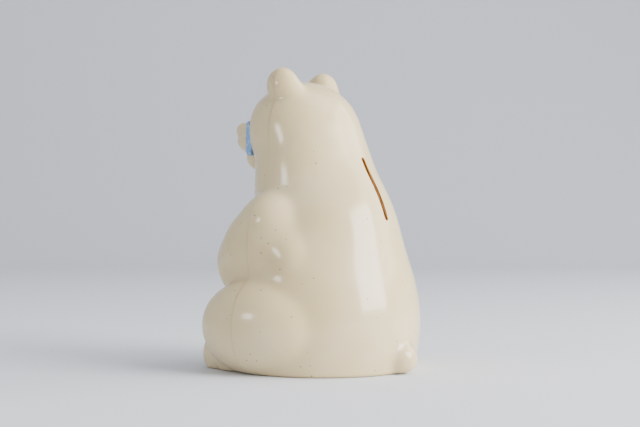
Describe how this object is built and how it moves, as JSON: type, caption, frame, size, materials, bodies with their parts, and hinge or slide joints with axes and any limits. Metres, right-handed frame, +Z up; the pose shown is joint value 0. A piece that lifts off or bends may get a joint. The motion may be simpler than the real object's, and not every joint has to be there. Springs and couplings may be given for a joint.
{
  "type": "bear money bank",
  "caption": "Seated bear money bank in two moulded half shells, with a coin slot in the back, a glasses frame on the face and a pull-out stopper in the base.",
  "frame": {"origin": "middle of the part's bounding box, on the floor plane", "axes": "+Z up, -Y towards the nose, +X towards the bear's left side"},
  "size_m": [0.155, 0.1439, 0.2],
  "materials": {
    "cream_shell": "high gloss, cream with sparse dark speckles",
    "blue_frame": "gloss, mottled light blue",
    "soft_stopper": "satin, soft vinyl"
  },
  "bodies": {
    "bank": {"front_shell": "cream_shell", "rear_shell": "cream_shell", "glasses": "blue_frame"},
    "plug": {"stopper": "soft_stopper"}
  },
  "joints": [
    {"name": "stopper_pull", "type": "slide", "parent": "bank", "child": "plug", "axis": [0, 0, -1], "range_m": [0, 0.02]}
  ]
}
